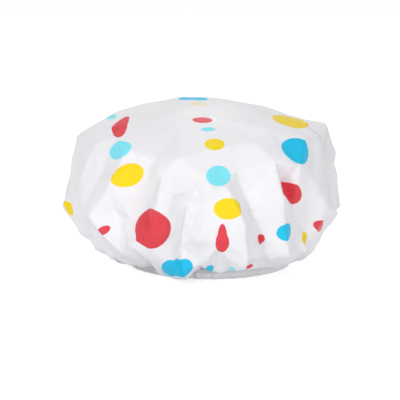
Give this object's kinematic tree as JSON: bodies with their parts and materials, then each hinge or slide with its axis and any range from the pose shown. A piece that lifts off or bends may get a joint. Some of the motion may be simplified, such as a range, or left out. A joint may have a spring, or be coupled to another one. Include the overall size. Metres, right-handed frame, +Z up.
{
  "type": "shower cap",
  "caption": "Puffed shower cap of thin white film printed with polka dots, its edge gathered on elastic in a sewn hem; it stretches over the hair to keep it dry.",
  "frame": {"origin": "under the middle of the cap's box, on the plane that the hem rests on", "axes": "+Z up from the hem to the crown, -Y out of the front of the cap as pictured, +X to the right in the picture"},
  "size_m": [0.2608, 0.2608, 0.156],
  "materials": {
    "film": "satin, slightly translucent film with printed dots",
    "braid": "plain braided cover",
    "rubber_core": "matte, dusted",
    "thread": "spun sewing thread"
  },
  "bodies": {
    "root": {"crown_film": "film", "hem_casing": "film", "elastic_braid": "braid", "rubber_strand_1": "rubber_core", "rubber_strand_2": "rubber_core", "rubber_strand_3": "rubber_core", "rubber_strand_4": "rubber_core", "elastic_lap_tack": "thread", "hem_needle_thread": "thread", "hem_bobbin_thread": "thread"}
  },
  "joints": []
}
